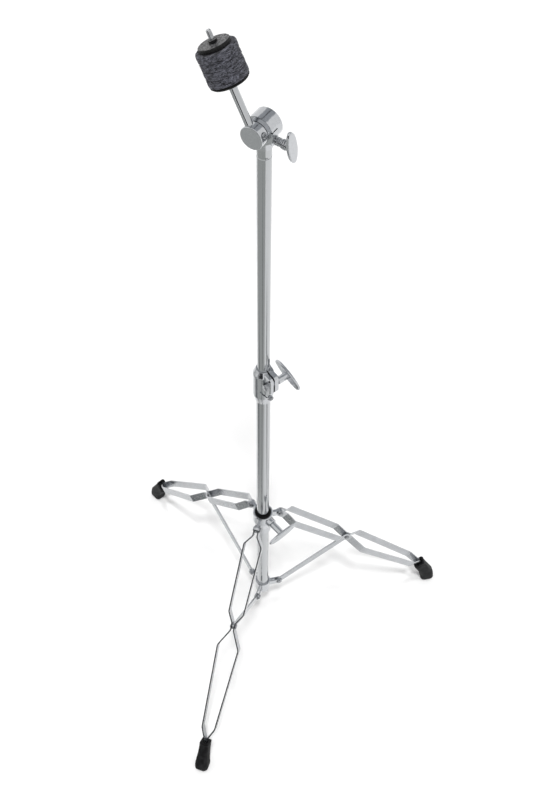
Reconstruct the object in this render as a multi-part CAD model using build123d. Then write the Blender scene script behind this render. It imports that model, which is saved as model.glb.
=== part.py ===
from build123d import *
import math
import os

# Straight cymbal stand: a folding tripod, a two-stage post and a tilting cymbal arm.
# Millimetres, +Z up. The origin is where the post's centre line meets the floor,
# the front leg points along -Y, and every direction below is an angle from +X.

# Post
LOWER_TUBE_D = 22.2
UPPER_TUBE_D = 19.05
TUBE_WALL = 1.2
LOWER_TUBE_BOTTOM = 86.0
LOWER_TUBE_LENGTH = 689.0
UPPER_TUBE_BOTTOM = 538.0
UPPER_TUBE_LENGTH = 700.0

# Clearances
RUNNING_FIT = 0.05
SIDE_GAP = 0.3

# Tripod linkage: the leg from hub to stay joint, and the stay, are the same length
LEG_ANGLES = {"front": -90.0, "right": 30.0, "left": 150.0}
PIVOT_RADIUS = 32.0
COLLAR_PIVOT_Z = 99.1
LINK_LENGTH = 189.5
OPEN_ANGLE = 45.84
FOLDED_ANGLE = 85.5
RIVET_D = 5.0
RIVET_HEAD_D = 9.0
RIVET_HEAD_H = 2.0

# Leg strips, on edge, in pairs
STRIP_THICK = 2.2
STRIP_HEIGHT = 14.5
STRIP_TAB = 12.0
STRIP_BEND_RADIUS = 7.0
HUB_BEND_AT = 30.0
HUB_BEND_SIDE = 16.3
JOINT_NEAR_RUN = 27.5
JOINT_NEAR_SIDE = 14.0
JOINT_FLAT = 14.0
JOINT_FAR_RUN = 41.5
JOINT_FAR_SIDE = 20.0
FOOT_BEND_RUN = 28.0
FOOT_BEND_SIDE = 12.0
LEG_BELOW_JOINT = 234.5
STRIP_IN_FOOT = 14.0
STRIP_STRAIGHT = 3.0

# Stays
STAY_THICK = 3.0
STAY_HEIGHT = 12.0

# Rubber feet
FOOT_MOUTH_HEIGHT = 24.0
FOOT_MOUTH_WIDTH = 18.0
FOOT_BASE_AHEAD = 10.1
FOOT_BASE_LENGTH = 28.0
FOOT_BASE_WIDTH = 26.0
FOOT_TREAD_Z = 6.0
FOOT_SHOULDER_Z = 22.0
FOOT_SHOULDER_INSET = 0.8
FOOT_SOLE_INSET = 2.5

# Hub that slides on the lower tube
HUB_D = 36.0
HUB_NECK_D = 28.0
HUB_TOP_ABOVE_PIVOT = 11.0
HUB_BODY_H = 22.0
HUB_TAPER_H = 19.0
HUB_NECK_H = 16.0
HUB_LUG_THICK = 5.0
BUSHING_D = 29.4
BUSHING_H = 32.0
BUSHING_PROUD = 3.0

# Lower collar
COLLAR_D = 29.0
COLLAR_H = 29.0
CLEVIS_PLATE = 2.0
CLEVIS_HEIGHT = 14.0

# Wing screws: a threaded shank, a smooth stem and an oval blade across its end
WING_BLADE_THICK = 4.6
WING_STEM_D = 12.0
WING_THREAD_D = 8.0
LOWER_BLADE_LENGTH = 60.0
LOWER_BLADE_WIDTH = 19.0
HUB_SCREW_ANGLE = -30.0
HUB_BOSS_D = 17.0
HUB_BOSS_REACH = 26.0
HUB_STEM_LENGTH = 24.4

# Clamp at the top of the lower tube
CLAMP_D = 32.0
CLAMP_ON_TUBE = 43.0
CLAMP_ABOVE_TUBE = 34.0
CLAMP_NOSE_WALL = 1.7
CLAMP_LOWER_TAPER = 16.0
CLAMP_UPPER_TAPER = 11.0
CLAMP_SHOULDER_RADIUS = 9.0
CLAMP_SLIT = 2.4
CLAMP_SLIT_DEPTH = 54.0
CLAMP_RELIEF_H = 2.2
CLAMP_RELIEF_ANGLE = -69.0
CLAMP_RELIEF_RISE = 28.5
CLAMP_RELIEF_LENGTH = 19.0
CLAMP_RELIEF_SLOPE = 56.0
CLAMP_EAR_ANGLE = -35.0
CLAMP_EAR_REACH = 20.8
CLAMP_EAR_EDGE = 27.5
CLAMP_EAR_TOP = 1.5
CLAMP_EAR_SIDE = 31.0
CLAMP_EAR_FOOT = 27.0
CLAMP_EAR_CORNER = 6.0
CLAMP_EAR_ROUND = 1.8
CLAMP_EAR_FAR = 9.7
CLAMP_EAR_NEAR = 8.0
CLAMP_SCREW_DROP = 19.0
CLAMP_STEM_LENGTH = 17.7
CLAMP_BLADE_TURN = 10.0
CLAMP_SET_RISE = 16.0
CLAMP_SET_ANGLE = -29.0
CLAMP_NUT_ACROSS = 12.0
CLAMP_NUT_H = 5.0
CLAMP_SCREW_PAST = 1.5
CLAMP_LIP_H = 4.5
INSERT_WALL = 2.6

# Tilter: distances along the tilt axis are negative towards the cymbal arm
NECK_RISE = 30.3
TILT_AXIS_ANGLE = 75.0
TILT_LEAN = 26.6
NECK_D = 20.4
NECK_SPIGOT = 33.0
DRUM_D = 38.2
DRUM_FRONT = -11.4
DRUM_BACK = 10.5
DRUM_WALL = 4.0
DRUM_RIM = 0.5
DRUM_RIM_LENGTH = 2.4
DRUM_SLIT = 1.4
DRUM_SLIT_LENGTH = 11.0
DRUM_SLIT_RISE = 5.0
DRUM_SLIT_DEPTH = 2.4
COLLAR_FRONT = -14.2
TILT_COLLAR_D = 31.0
AXLE_D = 15.0
BRAKE_D = 29.0
BRAKE_FRONT = -8.6
BRAKE_BACK = 4.6
CAP_THICK = 1.6
HOLDER_D = 31.0
HOLDER_FRONT = -27.5
HOLDER_EDGE = 0.9
PIVOT_BOLT_D = 6.0
PIVOT_BOLT_GRIP = 16.0
PIVOT_HEAD_ACROSS = 10.0
PIVOT_HEAD_H = 2.6
PIVOT_WASHER_D = 17.0
PIVOT_WASHER_THICK = 1.2
TILTER_SCREW_DROP = 14.2
TILTER_THREAD_D = 10.0
TILTER_BOSS_D = 15.0
TILTER_BOSS_REACH = 15.0
TILTER_THREAD_SHOWN = 10.0
TILTER_STEM_LENGTH = 11.2
TILTER_BLADE_LENGTH = 54.0
TILTER_BLADE_WIDTH = 18.0
TILTER_BLADE_TURN = 13.5
SHOE_D = 8.4
SHOE_BACK = 12.0
NECK_PIN_D = 4.0
NECK_PIN_DROP = 13.0
NECK_PIN_ANGLE = -53.0
CRIMP_H = 3.6
CRIMP_DEPTH = 0.4

# Cymbal arm: distances along it are measured from the tilt axis
ROD_D = 10.0
ROD_PLANE = -21.4
ROD_TAIL = 8.0
ROD_SHOULDER = 69.7
ROD_TIP = 132.6
ROD_THREAD_D = 6.0
SET_SCREW_D = 5.0
SET_SCREW_HEAD_D = 7.6
SET_SCREW_HEAD_H = 2.6
WASHER_D = 47.5
WASHER_THICK = 3.6
FELT_D = 48.5
FELT_COUNT = 4
FELT_HEIGHT = 9.4
FELT_EDGE = 1.2
SLEEVE_D = 10.0
TOP_NUT_D = 38.0
TOP_NUT_H = 5.2
TOP_NUT_HUB_D = 10.0
TOP_NUT_HUB_H = 3.5
TOP_NUT_GRIPS = 36
TOP_NUT_GRIP_D = 1.6

# What follows from the sizes above
LOWER_TUBE_TOP = LOWER_TUBE_BOTTOM + LOWER_TUBE_LENGTH
UPPER_TUBE_TOP = UPPER_TUBE_BOTTOM + UPPER_TUBE_LENGTH
CLAMP_BOTTOM = LOWER_TUBE_TOP - CLAMP_ON_TUBE
CLAMP_TOP = LOWER_TUBE_TOP + CLAMP_ABOVE_TUBE
CLAMP_SLIT_FOOT = CLAMP_TOP - CLAMP_SLIT_DEPTH
CLAMP_LIP_Z = CLAMP_TOP - CLAMP_LIP_H
CLAMP_SCREW_Z = CLAMP_TOP - CLAMP_SCREW_DROP
CLAMP_SET_SCREW_Z = CLAMP_BOTTOM + CLAMP_SET_RISE
TILT_AXIS_Z = UPPER_TUBE_TOP + NECK_RISE
LOWER_R = LOWER_TUBE_D / 2
UPPER_R = UPPER_TUBE_D / 2
LOWER_BORE_R = LOWER_R - TUBE_WALL
UPPER_BORE_R = UPPER_R - TUBE_WALL
RIVET_R = RIVET_D / 2
SET_SCREW_R = SET_SCREW_D / 2
LINK_RISE = LINK_LENGTH * math.sin(math.radians(OPEN_ANGLE))
HUB_PIVOT_Z = COLLAR_PIVOT_Z + 2 * LINK_RISE
HUB_TRAVEL = 2 * (LINK_LENGTH * math.sin(math.radians(FOLDED_ANGLE)) - LINK_RISE)
FOLD_TURN = FOLDED_ANGLE - OPEN_ANGLE
HUB_SIDE = HUB_LUG_THICK / 2 + SIDE_GAP + STRIP_THICK / 2
JOINT_SIDE = STAY_THICK / 2 + SIDE_GAP + STRIP_THICK / 2
FOOT_SIDE = STRIP_THICK / 2 + RUNNING_FIT
FOOT_ENTRY_AT = LINK_LENGTH + LEG_BELOW_JOINT
STRIP_END = FOOT_ENTRY_AT + STRIP_IN_FOOT
FOOT_ENTRY_RADIUS = PIVOT_RADIUS + FOOT_ENTRY_AT * math.cos(math.radians(OPEN_ANGLE))
INSERT_R = UPPER_R + RUNNING_FIT + INSERT_WALL
CLAMP_PAD_R = SET_SCREW_HEAD_D / 2 + 1
CLAMP_SEAT = CLAMP_D / 2 + 1
HOLDER_BACK = COLLAR_FRONT - SIDE_GAP
ARM_SCREW_SEAT = HOLDER_D / 2 - HOLDER_EDGE
CAP_R = DRUM_D / 2 - DRUM_WALL
FELT_FIRST = ROD_SHOULDER + WASHER_THICK + SIDE_GAP
FELT_PITCH = FELT_HEIGHT + SIDE_GAP
TOP_NUT_AT = FELT_FIRST + FELT_COUNT * FELT_PITCH
MIN_ENGAGED = 87.0
ARM_LEVEL = 90.0

# Travel of each moving body from the rest pose
TRAVELS = {
    "hub slides up the lower tube, mm": (0.0, HUB_TRAVEL),
    "each leg folds down about its hub rivet, degrees": (0.0, FOLD_TURN),
    "each stay folds up about its collar rivet, degrees": (0.0, FOLD_TURN),
    "upper tube slides in the clamp, mm": (-390.0, LOWER_TUBE_TOP - UPPER_TUBE_BOTTOM - MIN_ENGAGED),
    "upper tube turns in the clamp": "without limit",
    "cymbal arm tilts about the drum, degrees": (TILT_LEAN - ARM_LEVEL, TILT_LEAN + ARM_LEVEL),
    "each wing screw turns, degrees": (-180.0, 180.0),
    "top nut turns on the thread": "without limit",
}


def bar_up(radius, start, end):
    """A round bar along local Z from start to end."""
    bar = Cylinder(radius, end - start, align=(Align.CENTER, Align.CENTER, Align.MIN))
    return Pos(0, 0, start) * bar


def turned(points):
    """A solid of revolution about Z from (radius, height) points."""
    return revolve(make_face(Plane.XZ * Polyline(*points, close=True)), Axis.Z)


def hexagon_up(across, start, end):
    """A six-sided bar along local Z, measured across its flats."""
    side = RegularPolygon(across / 2, 6, major_radius=False, rotation=30)
    return Pos(0, 0, start) * extrude(side, end - start)


def cross_bar(radius, length):
    """A round bar centred on local Y."""
    return Rot(90, 0, 0) * Cylinder(radius, length)


def flat_link(length, thick, height):
    """A flat bar on edge along local X with a round end beyond each pivot."""
    link = Box(length, thick, height, align=(Align.MIN, Align.CENTER, Align.CENTER))
    return link + cross_bar(height / 2, thick) + Pos(length, 0, 0) * cross_bar(height / 2, thick)


def radial(angle, height):
    """A place on the post's axis whose local Z points outward at the given angle."""
    return Pos(0, 0, height) * Rot(0, 0, angle) * Rot(0, 90, 0)


def leg_place(angle):
    """Local X runs down the leg from its hub rivet, local Y to its side."""
    return Rot(0, 0, angle) * Pos(PIVOT_RADIUS, 0, HUB_PIVOT_Z) * Rot(0, OPEN_ANGLE, 0)


def stay_place(angle):
    """Local X runs up the stay from its collar rivet."""
    return Rot(0, 0, angle) * Pos(PIVOT_RADIUS, 0, COLLAR_PIVOT_Z) * Rot(0, -OPEN_ANGLE, 0)


def clamp_screw_place():
    """On the clamp screw's axis at the slit, local Z towards the wing."""
    ears = Rot(0, 0, CLAMP_EAR_ANGLE) * Pos(CLAMP_EAR_REACH, 0, 0)
    return Pos(0, 0, CLAMP_SCREW_Z) * ears * Rot(-90, 0, 0)


def tilt_place():
    """Local X points back along the tilt axis and local Z stays upright."""
    return Pos(0, 0, TILT_AXIS_Z) * Rot(0, 0, TILT_AXIS_ANGLE)


def tilt_bar(radius, start, end):
    """A round bar about the tilt axis, from start to end along it."""
    return Rot(0, 90, 0) * bar_up(radius, start, end)


def tilter_screw_place():
    """On the lock screw's axis beside the post's centre line, local Z towards its wing."""
    return radial(TILT_AXIS_ANGLE - 90, TILT_AXIS_Z - TILTER_SCREW_DROP)


def neck_pin_place():
    return radial(NECK_PIN_ANGLE, UPPER_TUBE_TOP - NECK_PIN_DROP)


def arm_place():
    """Local Z runs up the cymbal arm from the tilt axis, in the arm's own plane."""
    return tilt_place() * Pos(ROD_PLANE, 0, 0) * Rot(-TILT_LEAN, 0, 0)


def arm_screw_place():
    """Square to the arm, local Z outward through the side of the arm's holder."""
    return arm_place() * Rot(90, 0, 0)


def wing_screw(thread_d, inside, shown, stem_length, blade_length, blade_width, blade_turn):
    """Local Z points out of the threaded hole, whose mouth is at zero."""
    stem_top = shown + stem_length
    stem = bar_up(WING_STEM_D / 2, shown, stem_top)
    stem = chamfer(stem.edges().group_by(Axis.Z)[0], WING_STEM_D / 15)
    thread = bar_up(thread_d / 2, -inside, shown)
    thread = chamfer(thread.edges().group_by(Axis.Z)[0], thread_d / 12)
    blade = Pos(0, 0, stem_top) * extrude(Ellipse(blade_length / 2, blade_width / 2), WING_BLADE_THICK)
    blade = fillet(blade.edges(), WING_BLADE_THICK * 0.4)
    return thread + stem + Rot(0, 0, blade_turn) * blade


def lower_tube():
    tube = bar_up(LOWER_R, LOWER_TUBE_BOTTOM, LOWER_TUBE_TOP)
    return tube - bar_up(LOWER_BORE_R, LOWER_TUBE_BOTTOM - 1, LOWER_TUBE_TOP + 1)


def upper_tube():
    tube = bar_up(UPPER_R, UPPER_TUBE_BOTTOM, UPPER_TUBE_TOP)
    tube -= bar_up(UPPER_BORE_R, UPPER_TUBE_BOTTOM - 1, UPPER_TUBE_TOP + 1)
    crimp_z = UPPER_TUBE_TOP - NECK_PIN_DROP
    crimp = Polyline(
        (UPPER_R + 1, crimp_z - CRIMP_H / 2 - 1),
        (UPPER_R - CRIMP_DEPTH, crimp_z - CRIMP_H / 4),
        (UPPER_R - CRIMP_DEPTH, crimp_z + CRIMP_H / 4),
        (UPPER_R + 1, crimp_z + CRIMP_H / 2 + 1),
        close=True,
    )
    tube -= revolve(make_face(Plane.XZ * crimp), Axis.Z)
    return tube - neck_pin_place() * bar_up(NECK_PIN_D / 2 + RUNNING_FIT, 0, UPPER_R + 1)


def lower_collar():
    """A ring at the foot of the post with a pair of ears for each stay."""
    bottom = COLLAR_PIVOT_Z - COLLAR_H / 2
    collar = bar_up(COLLAR_D / 2, bottom, bottom + COLLAR_H)
    collar = chamfer(collar.edges().filter_by(GeomType.CIRCLE), 0.8)
    plate_side = STAY_THICK / 2 + SIDE_GAP + CLEVIS_PLATE / 2
    for angle in LEG_ANGLES.values():
        for side in (-plate_side, plate_side):
            plate = flat_link(PIVOT_RADIUS, CLEVIS_PLATE, CLEVIS_HEIGHT)
            collar += Rot(0, 0, angle) * Pos(0, side, COLLAR_PIVOT_Z) * plate
        hole = cross_bar(RIVET_R, 4 * plate_side)
        collar -= Rot(0, 0, angle) * Pos(PIVOT_RADIUS, 0, COLLAR_PIVOT_Z) * hole
    return collar - bar_up(LOWER_R + RUNNING_FIT, bottom - 1, bottom + COLLAR_H + 1)


def rivet(half_stack, open_half=0.0):
    """A rivet along local Y. With an open half it is two headed stubs, free between."""
    half = bar_up(RIVET_R, open_half, half_stack)
    head = bar_up(RIVET_HEAD_D / 2, half_stack, half_stack + RIVET_HEAD_H)
    half += fillet(head.edges().group_by(Axis.Z)[-1], RIVET_HEAD_H * 0.7)
    return Rot(-90, 0, 0) * half + Rot(90, 0, 0) * half


def collar_rivets():
    shape = rivet(STAY_THICK / 2 + SIDE_GAP + CLEVIS_PLATE)
    seat = Pos(PIVOT_RADIUS, 0, COLLAR_PIVOT_Z)
    return [Rot(0, 0, angle) * seat * shape for angle in LEG_ANGLES.values()]


def hub_rivets():
    shape = rivet(HUB_SIDE + STRIP_THICK / 2 + SIDE_GAP)
    return [leg_place(angle) * shape for angle in LEG_ANGLES.values()]


def joint_rivet(angle):
    """Set in the leg's two strips and left open between them, where the stay's end moves."""
    shape = rivet(JOINT_SIDE + STRIP_THICK / 2, JOINT_SIDE - STRIP_THICK / 2)
    return leg_place(angle) * Pos(LINK_LENGTH, 0, 0) * shape


def leg_strip(angle, side):
    """One flat strip, spread round the stay's joint and closed at the hub and the foot."""
    path = FilletPolyline(
        (-STRIP_TAB, HUB_SIDE),
        (STRIP_TAB, HUB_SIDE),
        (HUB_BEND_AT, HUB_BEND_SIDE),
        (LINK_LENGTH - JOINT_NEAR_RUN, JOINT_NEAR_SIDE),
        (LINK_LENGTH - JOINT_FLAT / 2, JOINT_SIDE),
        (LINK_LENGTH + JOINT_FLAT / 2, JOINT_SIDE),
        (LINK_LENGTH + JOINT_FAR_RUN, JOINT_FAR_SIDE),
        (FOOT_ENTRY_AT - FOOT_BEND_RUN, FOOT_BEND_SIDE),
        (FOOT_ENTRY_AT - STRIP_STRAIGHT, FOOT_SIDE),
        (STRIP_END, FOOT_SIDE),
        radius=STRIP_BEND_RADIUS,
    )
    strip = Pos(0, 0, -STRIP_HEIGHT / 2) * extrude(trace(path, STRIP_THICK), STRIP_HEIGHT)
    width = 4 * (HUB_BEND_SIDE + JOINT_FAR_SIDE)
    keep = Box(STRIP_END, width, STRIP_HEIGHT, align=(Align.MIN, Align.CENTER, Align.CENTER))
    strip &= keep + cross_bar(STRIP_HEIGHT / 2, width)
    strip -= cross_bar(RIVET_R + RUNNING_FIT, width)
    strip -= Pos(LINK_LENGTH, 0, 0) * cross_bar(RIVET_R, width)
    if side < 0:
        strip = mirror(strip, Plane.XZ)
    return leg_place(angle) * strip


def stay(angle):
    bar = flat_link(LINK_LENGTH, STAY_THICK, STAY_HEIGHT)
    for at in (0, LINK_LENGTH):
        bar -= Pos(at, 0, 0) * cross_bar(RIVET_R + RUNNING_FIT, 2 * STAY_THICK)
    return stay_place(angle) * bar


def rubber_foot(angle):
    """A boot over the strips' ends, its sole flat on the floor."""
    centre = FOOT_ENTRY_RADIUS + FOOT_BASE_AHEAD + FOOT_BASE_LENGTH / 2
    sole_length = FOOT_BASE_LENGTH - 2 * FOOT_SOLE_INSET
    sole_width = FOOT_BASE_WIDTH - 2 * FOOT_SOLE_INSET
    sole = Pos(centre, 0, 0) * RectangleRounded(sole_length, sole_width, sole_width / 3)
    tread_face = RectangleRounded(FOOT_BASE_LENGTH, FOOT_BASE_WIDTH, FOOT_BASE_WIDTH / 3)
    tread = Pos(centre, 0, FOOT_TREAD_Z) * tread_face
    shoulder_length = FOOT_BASE_LENGTH - 2 * FOOT_SHOULDER_INSET
    shoulder_width = FOOT_BASE_WIDTH - 2 * FOOT_SHOULDER_INSET
    shoulder_face = RectangleRounded(shoulder_length, shoulder_width, shoulder_width / 3)
    shoulder = Pos(centre - 2 * FOOT_SHOULDER_INSET, 0, FOOT_SHOULDER_Z) * shoulder_face
    strip_end = leg_place(0) * Pos(FOOT_ENTRY_AT, 0, 0)
    across = RectangleRounded(FOOT_MOUTH_HEIGHT, FOOT_MOUTH_WIDTH, FOOT_MOUTH_WIDTH / 5)
    mouth = strip_end * Rot(0, 90, 0) * Rot(0, 0, 180) * across
    boot = loft([sole, tread], ruled=True) + loft([tread, shoulder], ruled=True)
    boot += loft([shoulder, mouth], ruled=True)
    pocket_width = 2 * STRIP_THICK + 4 * RUNNING_FIT
    pocket_height = STRIP_HEIGHT + 2 * RUNNING_FIT
    pocket = Box(STRIP_IN_FOOT, pocket_width, pocket_height, align=(Align.MIN, Align.CENTER, Align.CENTER))
    return Rot(0, 0, angle) * (boot - strip_end * pocket)


def hub_casting():
    """Slides on the lower tube, with a lug for each leg and a boss for the wing screw."""
    top = HUB_PIVOT_Z + HUB_TOP_ABOVE_PIVOT
    shoulder = top - HUB_BODY_H
    neck_top = shoulder - HUB_TAPER_H
    bottom = neck_top - HUB_NECK_H
    slide_r = LOWER_R + SIDE_GAP
    hub = turned([
        (slide_r, bottom),
        (HUB_NECK_D / 2, bottom),
        (HUB_NECK_D / 2, neck_top),
        (HUB_D / 2, shoulder),
        (HUB_D / 2, top - 1.2),
        (HUB_D / 2 - 1.2, top),
        (slide_r, top),
    ])
    for angle in LEG_ANGLES.values():
        lug = flat_link(PIVOT_RADIUS, HUB_LUG_THICK, STRIP_HEIGHT)
        hub += Rot(0, 0, angle) * Pos(0, 0, HUB_PIVOT_Z) * lug
    screw_place = radial(HUB_SCREW_ANGLE, HUB_PIVOT_Z)
    boss = bar_up(HUB_BOSS_D / 2, 0, HUB_BOSS_REACH)
    hub += screw_place * chamfer(boss.edges().group_by(Axis.Z)[-1], HUB_BOSS_D / 14)
    hub -= bar_up(BUSHING_D / 2, top + BUSHING_PROUD - BUSHING_H, top + 1) + bar_up(slide_r, bottom - 1, top)
    hub -= screw_place * bar_up(WING_THREAD_D / 2 + RUNNING_FIT, 0, 2 * HUB_BOSS_REACH)
    for angle in LEG_ANGLES.values():
        hub -= leg_place(angle) * cross_bar(RIVET_R, 2 * HUB_LUG_THICK)
    return hub


def hub_bushing():
    top = HUB_PIVOT_Z + HUB_TOP_ABOVE_PIVOT + BUSHING_PROUD
    bottom = top - BUSHING_H
    ring = bar_up(BUSHING_D / 2, bottom, top)
    ring = chamfer(ring.edges().group_by(Axis.Z)[-1], BUSHING_PROUD / 4)
    ring -= bar_up(LOWER_R + RUNNING_FIT, bottom - 1, top + 1)
    hole = bar_up(WING_THREAD_D / 2 + SIDE_GAP, 0, HUB_D)
    return ring - radial(HUB_SCREW_ANGLE, HUB_PIVOT_Z) * hole


def hub_wing_screw():
    inside = HUB_BOSS_REACH - LOWER_R - SIDE_GAP
    screw = wing_screw(
        WING_THREAD_D, inside, SIDE_GAP, HUB_STEM_LENGTH, LOWER_BLADE_LENGTH, LOWER_BLADE_WIDTH, 90
    )
    return radial(HUB_SCREW_ANGLE, HUB_PIVOT_Z) * Pos(0, 0, HUB_BOSS_REACH) * screw


def clamp_slit():
    """The upright cut that lets the clamp close on the upper tube."""
    height = 2 * CLAMP_SLIT_DEPTH
    slot = Box(2 * CLAMP_D, CLAMP_SLIT, height, align=(Align.MIN, Align.CENTER, Align.MIN))
    return Rot(0, 0, CLAMP_EAR_ANGLE) * Pos(0, 0, CLAMP_SLIT_FOOT) * slot


def clamp_ears():
    """The two ears as one lug, before the slit parts them."""
    top = CLAMP_TOP - CLAMP_EAR_TOP
    edge_foot = top - CLAMP_EAR_SIDE
    outline = FilletPolyline(
        (LOWER_R, top),
        (CLAMP_EAR_EDGE, top),
        (CLAMP_EAR_EDGE, edge_foot),
        (LOWER_R, edge_foot - CLAMP_EAR_FOOT),
        radius=CLAMP_EAR_CORNER,
    )
    side = make_face(Plane.XZ * Curve([outline, Line(outline @ 1, outline @ 0)]))
    lug = extrude(side, (CLAMP_EAR_FAR + CLAMP_EAR_NEAR) / 2, both=True)
    lug = Pos(0, (CLAMP_EAR_FAR - CLAMP_EAR_NEAR) / 2, 0) * lug
    faces = lug.faces().sort_by(Axis.Y)
    lug = chamfer(faces[0].edges() + faces[-1].edges(), CLAMP_EAR_ROUND)
    return Rot(0, 0, CLAMP_EAR_ANGLE) * lug


def clamp_body():
    """A split sleeve: its foot is fixed on the lower tube, its top closes on the insert."""
    half = CLAMP_D / 2
    lower_knee = (half, CLAMP_BOTTOM + CLAMP_LOWER_TAPER)
    upper_knee = (half, CLAMP_TOP - CLAMP_UPPER_TAPER)
    outline = FilletPolyline(
        (LOWER_R + CLAMP_NOSE_WALL, CLAMP_BOTTOM),
        lower_knee,
        upper_knee,
        (UPPER_R + SIDE_GAP + CLAMP_NOSE_WALL, CLAMP_TOP),
        radius=CLAMP_SHOULDER_RADIUS,
    )
    closing = Polyline(outline @ 1, (0, CLAMP_TOP), (0, CLAMP_BOTTOM), outline @ 0)
    body = revolve(make_face(Plane.XZ * Curve([outline, closing])), Axis.Z)
    body += clamp_ears()
    body += radial(CLAMP_SET_ANGLE, CLAMP_SET_SCREW_Z) * bar_up(CLAMP_PAD_R, 0, CLAMP_SEAT)
    body -= bar_up(LOWER_R, CLAMP_BOTTOM - 1, LOWER_TUBE_TOP)
    body -= bar_up(INSERT_R + RUNNING_FIT, LOWER_TUBE_TOP, CLAMP_LIP_Z)
    body -= bar_up(UPPER_R + SIDE_GAP, LOWER_TUBE_TOP, CLAMP_TOP + 1)
    body -= clamp_slit()
    relief = Box(CLAMP_RELIEF_H, CLAMP_RELIEF_LENGTH, CLAMP_D, align=(Align.CENTER, Align.CENTER, Align.MIN))
    relief_z = CLAMP_BOTTOM + CLAMP_RELIEF_RISE
    body -= radial(CLAMP_RELIEF_ANGLE, relief_z) * Rot(0, 0, -CLAMP_RELIEF_SLOPE) * relief
    body -= clamp_screw_place() * bar_up(WING_THREAD_D / 2 + RUNNING_FIT, -CLAMP_D, CLAMP_D)
    return body - radial(CLAMP_SET_ANGLE, CLAMP_SET_SCREW_Z) * bar_up(SET_SCREW_R, 0, CLAMP_D)


def clamp_insert():
    """Nylon split ring between the clamp and the upper tube."""
    bottom = LOWER_TUBE_TOP + SIDE_GAP
    ring = bar_up(INSERT_R, bottom, CLAMP_LIP_Z - SIDE_GAP)
    return ring - bar_up(UPPER_R + RUNNING_FIT, bottom - 1, CLAMP_TOP) - clamp_slit()


def clamp_wing_screw():
    inside = CLAMP_EAR_FAR + CLAMP_EAR_NEAR + CLAMP_NUT_H + CLAMP_SCREW_PAST
    screw = wing_screw(
        WING_THREAD_D,
        inside,
        SIDE_GAP,
        CLAMP_STEM_LENGTH,
        LOWER_BLADE_LENGTH,
        LOWER_BLADE_WIDTH,
        CLAMP_BLADE_TURN,
    )
    return clamp_screw_place() * Pos(0, 0, CLAMP_EAR_FAR) * screw


def clamp_nut():
    nut = hexagon_up(CLAMP_NUT_ACROSS, -CLAMP_EAR_NEAR - CLAMP_NUT_H, -CLAMP_EAR_NEAR)
    return clamp_screw_place() * (nut - bar_up(WING_THREAD_D / 2 + RUNNING_FIT, -CLAMP_D, 0))


def clamp_set_screw():
    """Slotted screw that holds the clamp on the lower tube."""
    top = CLAMP_SEAT + SET_SCREW_HEAD_H
    head = bar_up(SET_SCREW_HEAD_D / 2, CLAMP_SEAT, top)
    head = fillet(head.edges().group_by(Axis.Z)[-1], SET_SCREW_HEAD_H * 0.45)
    head -= Pos(0, 0, top) * Box(2 * SET_SCREW_HEAD_D, SET_SCREW_HEAD_D / 6, SET_SCREW_HEAD_H)
    screw = bar_up(SET_SCREW_R, LOWER_R + RUNNING_FIT, CLAMP_SEAT) + head
    return radial(CLAMP_SET_ANGLE, CLAMP_SET_SCREW_Z) * screw


def tilter_housing():
    """Spigot, neck, collar and the drum that the arm's brake turns in."""
    neck = bar_up(UPPER_BORE_R - RUNNING_FIT, UPPER_TUBE_TOP - NECK_SPIGOT, UPPER_TUBE_TOP)
    neck += bar_up(NECK_D / 2, UPPER_TUBE_TOP, TILT_AXIS_Z)
    drum = tilt_bar(DRUM_D / 2, DRUM_FRONT, DRUM_BACK)
    drum = chamfer(drum.edges().group_by(Axis.X)[-1], 0.8)
    drum += tilt_bar(DRUM_D / 2 + DRUM_RIM, DRUM_FRONT, DRUM_FRONT + DRUM_RIM_LENGTH)
    drum += tilt_bar(TILT_COLLAR_D / 2, COLLAR_FRONT, DRUM_FRONT)
    boss = tilter_screw_place() * bar_up(TILTER_BOSS_D / 2, 0, TILTER_BOSS_REACH)
    housing = neck + tilt_place() * drum + boss
    bore = tilt_bar(AXLE_D / 2 + RUNNING_FIT, 2 * COLLAR_FRONT, BRAKE_FRONT)
    bore += tilt_bar(BRAKE_D / 2 + RUNNING_FIT, BRAKE_FRONT, DRUM_BACK)
    bore += tilt_bar(CAP_R, BRAKE_BACK + SIDE_GAP, DRUM_BACK + 1)
    slit = Box(DRUM_SLIT_LENGTH, DRUM_D, DRUM_SLIT, align=(Align.MIN, Align.MAX, Align.CENTER))
    slit_side = math.sqrt((DRUM_D / 2) ** 2 - DRUM_SLIT_RISE**2) - DRUM_SLIT_DEPTH
    bore += Pos(DRUM_FRONT, -slit_side, DRUM_SLIT_RISE) * slit
    housing -= tilt_place() * bore
    screw_hole = bar_up(TILTER_THREAD_D / 2 + RUNNING_FIT, SHOE_BACK, 2 * TILTER_BOSS_REACH)
    screw_hole += bar_up(SHOE_D / 2 + RUNNING_FIT, SHOE_D / 2, SHOE_BACK)
    housing -= tilter_screw_place() * screw_hole
    return housing - neck_pin_place() * bar_up(NECK_PIN_D / 2 - RUNNING_FIT, 0, UPPER_R)


def tilter_brake_shoe():
    """Pressed by the lock screw against the side of the arm's brake."""
    shoe = tilter_screw_place() * bar_up(SHOE_D / 2, SHOE_D / 2 + SIDE_GAP, SHOE_BACK)
    return shoe - tilt_place() * tilt_bar(BRAKE_D / 2 + SIDE_GAP, 2 * COLLAR_FRONT, DRUM_BACK)


def tilter_neck_pin():
    """Cross pin that keeps the neck in the upper tube."""
    pin = bar_up(NECK_PIN_D / 2 - RUNNING_FIT, NECK_PIN_D / 2, UPPER_R + NECK_PIN_D / 8)
    return neck_pin_place() * fillet(pin.edges().group_by(Axis.Z)[-1], NECK_PIN_D / 8)


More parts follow.
